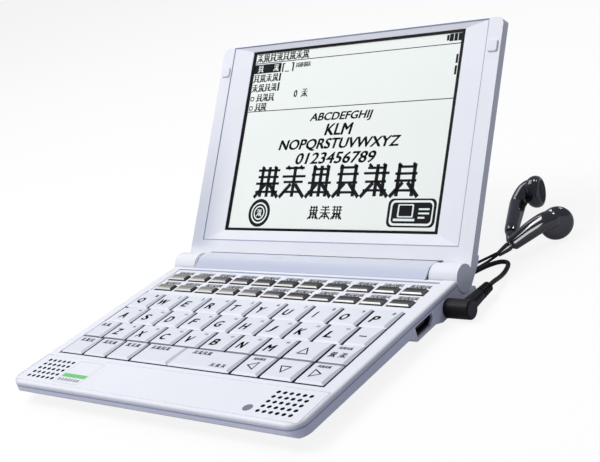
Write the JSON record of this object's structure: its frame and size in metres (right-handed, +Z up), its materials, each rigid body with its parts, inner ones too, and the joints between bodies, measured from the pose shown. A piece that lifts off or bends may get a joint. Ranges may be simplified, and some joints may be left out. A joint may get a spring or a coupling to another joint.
{
  "type": "electronic dictionary",
  "caption": "Pocket electronic dictionary with a friction-hinged display lid, a small keyboard, paired speaker grilles, a sliding battery door and plugged-in earphones.",
  "frame": {"origin": "on the table, midway across the case and midway between its front edge and the rearmost point of the open lid, earphones not counted", "axes": "+X to the user's right, +Y away from the user, +Z up"},
  "size_m": [0.1653, 0.1892, 0.0868],
  "materials": {
    "case_white": "fine satin moulded plastic, slightly blue white",
    "key_white": "satin moulded key caps with grey legends",
    "key_metal": "warm silver metallic finish",
    "mat_rubber": "moulded silicone",
    "board": "green circuit board",
    "steel": "plain steel",
    "black_plastic": "black moulded plastic",
    "battery_jacket": "printed cell jacket without lettering",
    "feet_rubber": "matt rubber",
    "display": "monochrome liquid crystal behind a black frame",
    "bumper": "soft white stop",
    "cord": "black flexible cord",
    "bud_black": "polished black ear pieces"
  },
  "bodies": {
    "base": {"lower_case": "case_white", "deck_cover": "case_white", "key_mat": "mat_rubber", "main_board": "board", "usb_port": "steel", "headphone_jack": "black_plastic", "speakers": "black_plastic", "batteries": "battery_jacket", "rubber_feet": "feet_rubber", "case_screws": "steel", "hinge_pins": "steel", "earphone_plug": "black_plastic", "earphone_cord": "cord", "cord_coil": "cord", "earphone_leads": "cord", "earbuds": "bud_black"},
    "lid": {"lid_cover": "case_white", "lid_bezel": "case_white", "lcd_panel": "display", "lid_bumpers": "bumper"},
    "battery_door": {"battery_door": "case_white"},
    "function_keys": {"function_keys": "key_metal"},
    "key_q": {"key_q": "key_white"},
    "key_w": {"key_w": "key_white"},
    "key_e": {"key_e": "key_white"},
    "key_r": {"key_r": "key_white"},
    "key_t": {"key_t": "key_white"},
    "key_y": {"key_y": "key_white"},
    "key_u": {"key_u": "key_white"},
    "key_i": {"key_i": "key_white"},
    "key_o": {"key_o": "key_white"},
    "key_p": {"key_p": "key_white"},
    "key_a": {"key_a": "key_white"},
    "key_s": {"key_s": "key_white"},
    "key_d": {"key_d": "key_white"},
    "key_f": {"key_f": "key_white"},
    "key_g": {"key_g": "key_white"},
    "key_h": {"key_h": "key_white"},
    "key_j": {"key_j": "key_white"},
    "key_k": {"key_k": "key_white"},
    "key_l": {"key_l": "key_white"},
    "key_dash": {"key_dash": "key_white"},
    "key_shift": {"key_shift": "key_white"},
    "key_z": {"key_z": "key_white"},
    "key_x": {"key_x": "key_white"},
    "key_c": {"key_c": "key_white"},
    "key_v": {"key_v": "key_white"},
    "key_b": {"key_b": "key_white"},
    "key_n": {"key_n": "key_white"},
    "key_m": {"key_m": "key_white"},
    "key_up": {"key_up": "key_white"},
    "key_symbols": {"key_symbols": "key_white"},
    "key_menu": {"key_menu": "key_white"},
    "key_jump": {"key_jump": "key_white"},
    "key_list": {"key_list": "key_white"},
    "key_back": {"key_back": "key_white"},
    "key_enter": {"key_enter": "key_white"},
    "key_left": {"key_left": "key_white"},
    "key_down": {"key_down": "key_white"},
    "key_right": {"key_right": "key_white"}
  },
  "joints": [
    {"name": "lid_hinge", "type": "hinge", "parent": "base", "child": "lid", "pos_m": [0, 0.01671, 0.0086], "axis": [1, 0, 0], "range_deg": [-30, 128.4]},
    {"name": "battery_door_slide", "type": "slide", "parent": "base", "child": "battery_door", "axis": [0, 1, 0], "range_m": [0, 0.008]},
    {"name": "function_keys_press", "type": "slide", "parent": "base", "child": "function_keys", "axis": [0, 0, -1], "range_m": [0, 0.0006], "stiffness_N_per_m": 1500},
    {"name": "key_q_press", "type": "slide", "parent": "base", "child": "key_q", "axis": [0, 0, -1], "range_m": [0, 0.0006], "stiffness_N_per_m": 800},
    {"name": "key_w_press", "type": "slide", "parent": "base", "child": "key_w", "axis": [0, 0, -1], "range_m": [0, 0.0006], "stiffness_N_per_m": 800},
    {"name": "key_e_press", "type": "slide", "parent": "base", "child": "key_e", "axis": [0, 0, -1], "range_m": [0, 0.0006], "stiffness_N_per_m": 800},
    {"name": "key_r_press", "type": "slide", "parent": "base", "child": "key_r", "axis": [0, 0, -1], "range_m": [0, 0.0006], "stiffness_N_per_m": 800},
    {"name": "key_t_press", "type": "slide", "parent": "base", "child": "key_t", "axis": [0, 0, -1], "range_m": [0, 0.0006], "stiffness_N_per_m": 800},
    {"name": "key_y_press", "type": "slide", "parent": "base", "child": "key_y", "axis": [0, 0, -1], "range_m": [0, 0.0006], "stiffness_N_per_m": 800},
    {"name": "key_u_press", "type": "slide", "parent": "base", "child": "key_u", "axis": [0, 0, -1], "range_m": [0, 0.0006], "stiffness_N_per_m": 800},
    {"name": "key_i_press", "type": "slide", "parent": "base", "child": "key_i", "axis": [0, 0, -1], "range_m": [0, 0.0006], "stiffness_N_per_m": 800},
    {"name": "key_o_press", "type": "slide", "parent": "base", "child": "key_o", "axis": [0, 0, -1], "range_m": [0, 0.0006], "stiffness_N_per_m": 800},
    {"name": "key_p_press", "type": "slide", "parent": "base", "child": "key_p", "axis": [0, 0, -1], "range_m": [0, 0.0006], "stiffness_N_per_m": 800},
    {"name": "key_a_press", "type": "slide", "parent": "base", "child": "key_a", "axis": [0, 0, -1], "range_m": [0, 0.0006], "stiffness_N_per_m": 800},
    {"name": "key_s_press", "type": "slide", "parent": "base", "child": "key_s", "axis": [0, 0, -1], "range_m": [0, 0.0006], "stiffness_N_per_m": 800},
    {"name": "key_d_press", "type": "slide", "parent": "base", "child": "key_d", "axis": [0, 0, -1], "range_m": [0, 0.0006], "stiffness_N_per_m": 800},
    {"name": "key_f_press", "type": "slide", "parent": "base", "child": "key_f", "axis": [0, 0, -1], "range_m": [0, 0.0006], "stiffness_N_per_m": 800},
    {"name": "key_g_press", "type": "slide", "parent": "base", "child": "key_g", "axis": [0, 0, -1], "range_m": [0, 0.0006], "stiffness_N_per_m": 800},
    {"name": "key_h_press", "type": "slide", "parent": "base", "child": "key_h", "axis": [0, 0, -1], "range_m": [0, 0.0006], "stiffness_N_per_m": 800},
    {"name": "key_j_press", "type": "slide", "parent": "base", "child": "key_j", "axis": [0, 0, -1], "range_m": [0, 0.0006], "stiffness_N_per_m": 800},
    {"name": "key_k_press", "type": "slide", "parent": "base", "child": "key_k", "axis": [0, 0, -1], "range_m": [0, 0.0006], "stiffness_N_per_m": 800},
    {"name": "key_l_press", "type": "slide", "parent": "base", "child": "key_l", "axis": [0, 0, -1], "range_m": [0, 0.0006], "stiffness_N_per_m": 800},
    {"name": "key_dash_press", "type": "slide", "parent": "base", "child": "key_dash", "axis": [0, 0, -1], "range_m": [0, 0.0006], "stiffness_N_per_m": 800},
    {"name": "key_shift_press", "type": "slide", "parent": "base", "child": "key_shift", "axis": [0, 0, -1], "range_m": [0, 0.0006], "stiffness_N_per_m": 800},
    {"name": "key_z_press", "type": "slide", "parent": "base", "child": "key_z", "axis": [0, 0, -1], "range_m": [0, 0.0006], "stiffness_N_per_m": 800},
    {"name": "key_x_press", "type": "slide", "parent": "base", "child": "key_x", "axis": [0, 0, -1], "range_m": [0, 0.0006], "stiffness_N_per_m": 800},
    {"name": "key_c_press", "type": "slide", "parent": "base", "child": "key_c", "axis": [0, 0, -1], "range_m": [0, 0.0006], "stiffness_N_per_m": 800},
    {"name": "key_v_press", "type": "slide", "parent": "base", "child": "key_v", "axis": [0, 0, -1], "range_m": [0, 0.0006], "stiffness_N_per_m": 800},
    {"name": "key_b_press", "type": "slide", "parent": "base", "child": "key_b", "axis": [0, 0, -1], "range_m": [0, 0.0006], "stiffness_N_per_m": 800},
    {"name": "key_n_press", "type": "slide", "parent": "base", "child": "key_n", "axis": [0, 0, -1], "range_m": [0, 0.0006], "stiffness_N_per_m": 800},
    {"name": "key_m_press", "type": "slide", "parent": "base", "child": "key_m", "axis": [0, 0, -1], "range_m": [0, 0.0006], "stiffness_N_per_m": 800},
    {"name": "key_up_press", "type": "slide", "parent": "base", "child": "key_up", "axis": [0, 0, -1], "range_m": [0, 0.0006], "stiffness_N_per_m": 800},
    {"name": "key_symbols_press", "type": "slide", "parent": "base", "child": "key_symbols", "axis": [0, 0, -1], "range_m": [0, 0.0006], "stiffness_N_per_m": 800},
    {"name": "key_menu_press", "type": "slide", "parent": "base", "child": "key_menu", "axis": [0, 0, -1], "range_m": [0, 0.0006], "stiffness_N_per_m": 800},
    {"name": "key_jump_press", "type": "slide", "parent": "base", "child": "key_jump", "axis": [0, 0, -1], "range_m": [0, 0.0006], "stiffness_N_per_m": 800},
    {"name": "key_list_press", "type": "slide", "parent": "base", "child": "key_list", "axis": [0, 0, -1], "range_m": [0, 0.0006], "stiffness_N_per_m": 800},
    {"name": "key_back_press", "type": "slide", "parent": "base", "child": "key_back", "axis": [0, 0, -1], "range_m": [0, 0.0006], "stiffness_N_per_m": 800},
    {"name": "key_enter_press", "type": "slide", "parent": "base", "child": "key_enter", "axis": [0, 0, -1], "range_m": [0, 0.0006], "stiffness_N_per_m": 800},
    {"name": "key_left_press", "type": "slide", "parent": "base", "child": "key_left", "axis": [0, 0, -1], "range_m": [0, 0.0006], "stiffness_N_per_m": 800},
    {"name": "key_down_press", "type": "slide", "parent": "base", "child": "key_down", "axis": [0, 0, -1], "range_m": [0, 0.0006], "stiffness_N_per_m": 800},
    {"name": "key_right_press", "type": "slide", "parent": "base", "child": "key_right", "axis": [0, 0, -1], "range_m": [0, 0.0006], "stiffness_N_per_m": 800}
  ]
}
